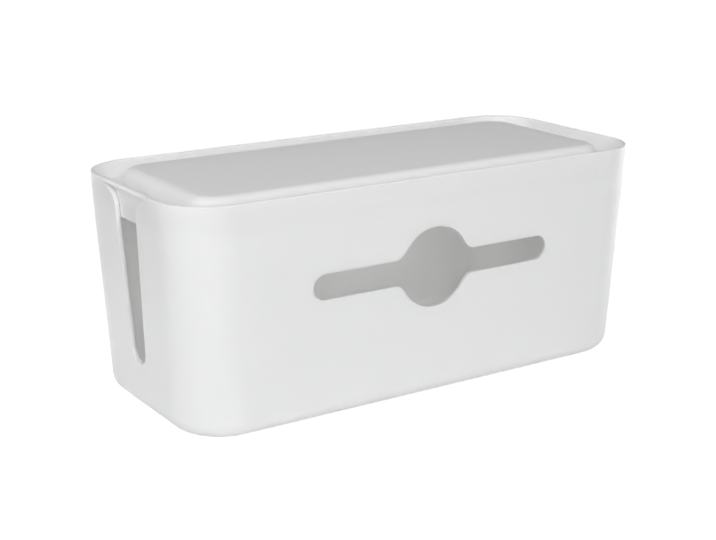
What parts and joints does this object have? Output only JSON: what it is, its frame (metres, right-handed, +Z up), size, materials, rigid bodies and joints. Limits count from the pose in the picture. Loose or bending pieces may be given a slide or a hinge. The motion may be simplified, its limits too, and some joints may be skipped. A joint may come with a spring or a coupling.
{
  "type": "cable management box",
  "caption": "Long white plastic cable box with drafted walls, a front cable opening with a round hole, a funnel-mouthed slot in the left end wall and a lift-off lid inside the rim.",
  "frame": {"origin": "centre of the box on the ground that the feet stand on", "axes": "+X along the box's length, -Y out of the front wall with the cable opening, +Z up"},
  "size_m": [0.3198, 0.14, 0.134],
  "materials": {
    "body_plastic": "fine satin moulding texture",
    "lid_plastic": "fine satin moulding texture",
    "foot_rubber": "plain matt rubber"
  },
  "bodies": {
    "box": {"box_body": "body_plastic", "foot_front_left": "foot_rubber", "foot_front_right": "foot_rubber", "foot_rear_left": "foot_rubber", "foot_rear_right": "foot_rubber"},
    "lid": {"lid": "lid_plastic"}
  },
  "joints": [
    {"name": "lid_lift", "type": "slide", "parent": "box", "child": "lid", "axis": [0, 0, 1], "range_m": [0, 0.15]}
  ]
}
